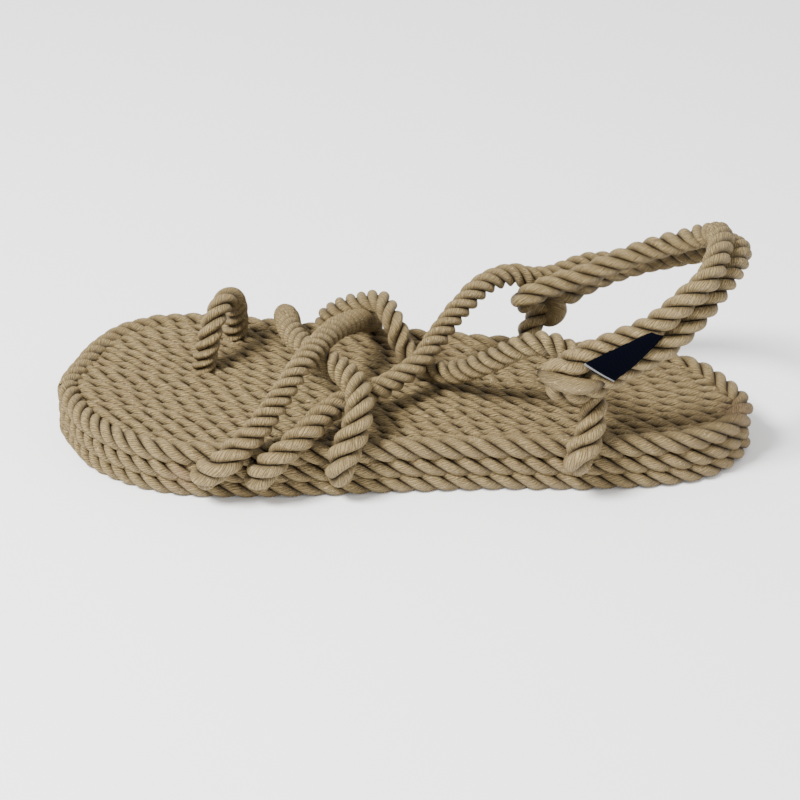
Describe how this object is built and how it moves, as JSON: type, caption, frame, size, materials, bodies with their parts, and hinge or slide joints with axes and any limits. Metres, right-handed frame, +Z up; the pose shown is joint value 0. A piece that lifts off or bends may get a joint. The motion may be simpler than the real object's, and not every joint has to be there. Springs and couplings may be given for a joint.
{
  "type": "rope sandal",
  "caption": "Open sandal of twisted rope: stacked rope mats as the sole, a toe loop, crossing front straps and a doubled heel strap tied to the side legs.",
  "frame": {"origin": "centre of the bounding box at floor level, where the flat underside of the sole rests", "axes": "-X towards the toe, +X towards the heel, -Y the outer side of the foot, +Y the inner side, +Z up"},
  "size_m": [0.2536, 0.1162, 0.0868],
  "materials": {
    "sole_rope": "beige tan twisted polypropylene rope, matt with a faint sheen along the yarns",
    "strap_rope": "beige tan twisted polypropylene rope, matt with a faint sheen along the yarns",
    "woven_label": "dark navy woven strip, matt, left bare"
  },
  "bodies": {
    "root": {"outsole": "sole_rope", "midsole": "sole_rope", "footbed": "sole_rope", "toe_loop": "strap_rope", "upper": "strap_rope", "label_tab": "woven_label"}
  },
  "joints": []
}
